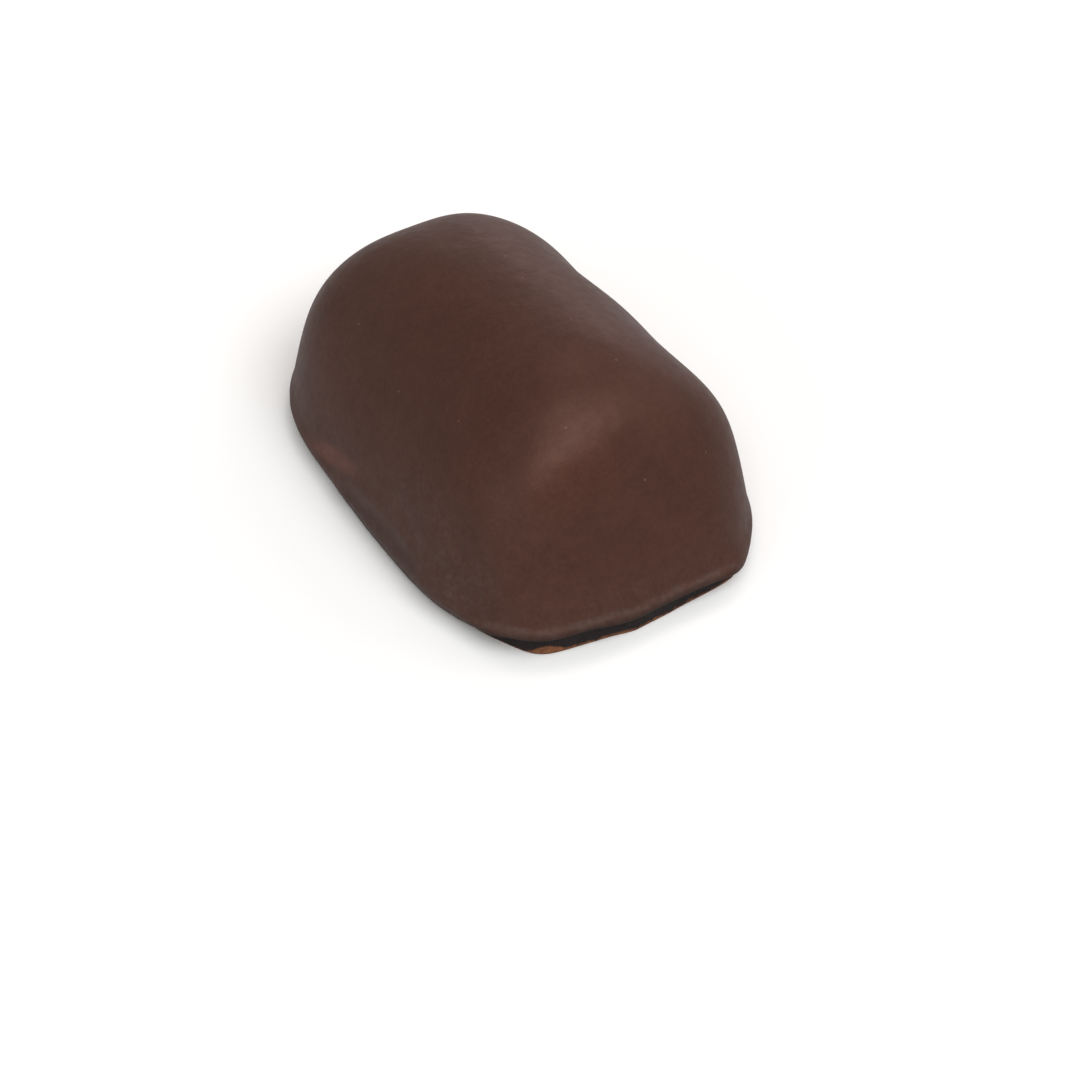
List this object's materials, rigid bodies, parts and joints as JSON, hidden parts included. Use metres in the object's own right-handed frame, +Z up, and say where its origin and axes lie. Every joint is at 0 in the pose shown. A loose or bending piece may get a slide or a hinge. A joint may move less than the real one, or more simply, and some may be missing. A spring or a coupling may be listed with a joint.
{
  "type": "chocolate coated biscuit bite",
  "caption": "Small rounded log of smooth satin chocolate over a thin biscuit base that shows as a narrow rim under the coat's lip.",
  "frame": {"origin": "middle of the underside of the bounding box, at the level of the base's flat bottom", "axes": "+X along the bite towards its sloping front end, -Y towards its left side, +Z up"},
  "size_m": [0.0368, 0.0246, 0.0155],
  "materials": {
    "chocolate_coat": "satin",
    "biscuit_base": "dull, baked"
  },
  "bodies": {
    "root": {"chocolate_coat": "chocolate_coat", "biscuit_base": "biscuit_base"}
  },
  "joints": []
}
